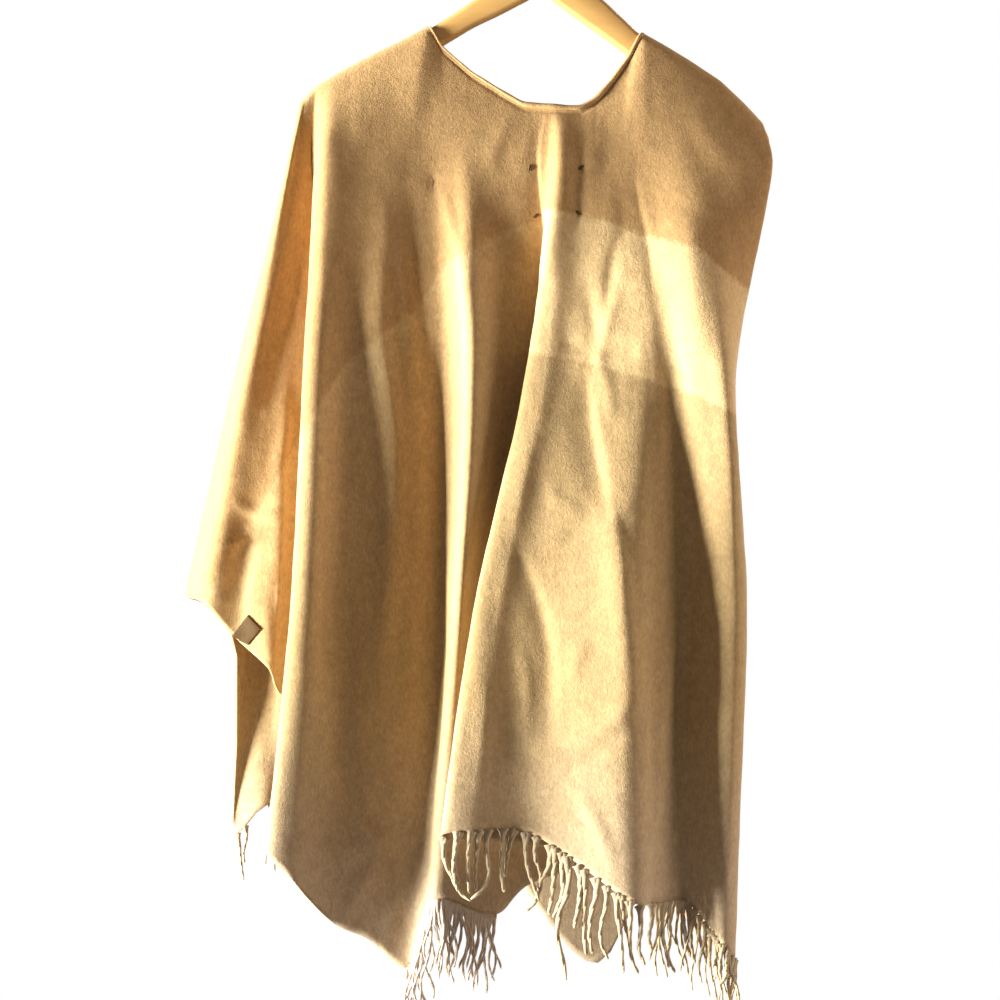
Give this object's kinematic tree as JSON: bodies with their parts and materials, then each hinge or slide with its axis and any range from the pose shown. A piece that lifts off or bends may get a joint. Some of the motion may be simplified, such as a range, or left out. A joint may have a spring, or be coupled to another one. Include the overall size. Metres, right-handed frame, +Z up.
{
  "type": "poncho on a hanger",
  "caption": "Fringed blanket poncho with a round neck opening and deep centre folds, hanging on a flat wooden hanger with a wire hook.",
  "frame": {"origin": "inside top of the hanger's hook, where a rod carries it", "axes": "+Z up, +X to the right of the side that shows, -Y towards whoever looks at that side"},
  "size_m": [0.5739, 0.197, 1.1233],
  "materials": {
    "wool": "brushed",
    "wool_edge": "brushed",
    "yarn": "matte",
    "leather": "matte",
    "beech": "satin",
    "steel": "satin"
  },
  "bodies": {
    "root": {"front": "wool", "back": "wool", "neck_hem": "wool_edge", "front_fringe": "yarn", "lap_fringe": "yarn", "back_fringe": "yarn", "side_tag": "leather", "hanger": "beech", "hook": "steel"}
  },
  "joints": []
}
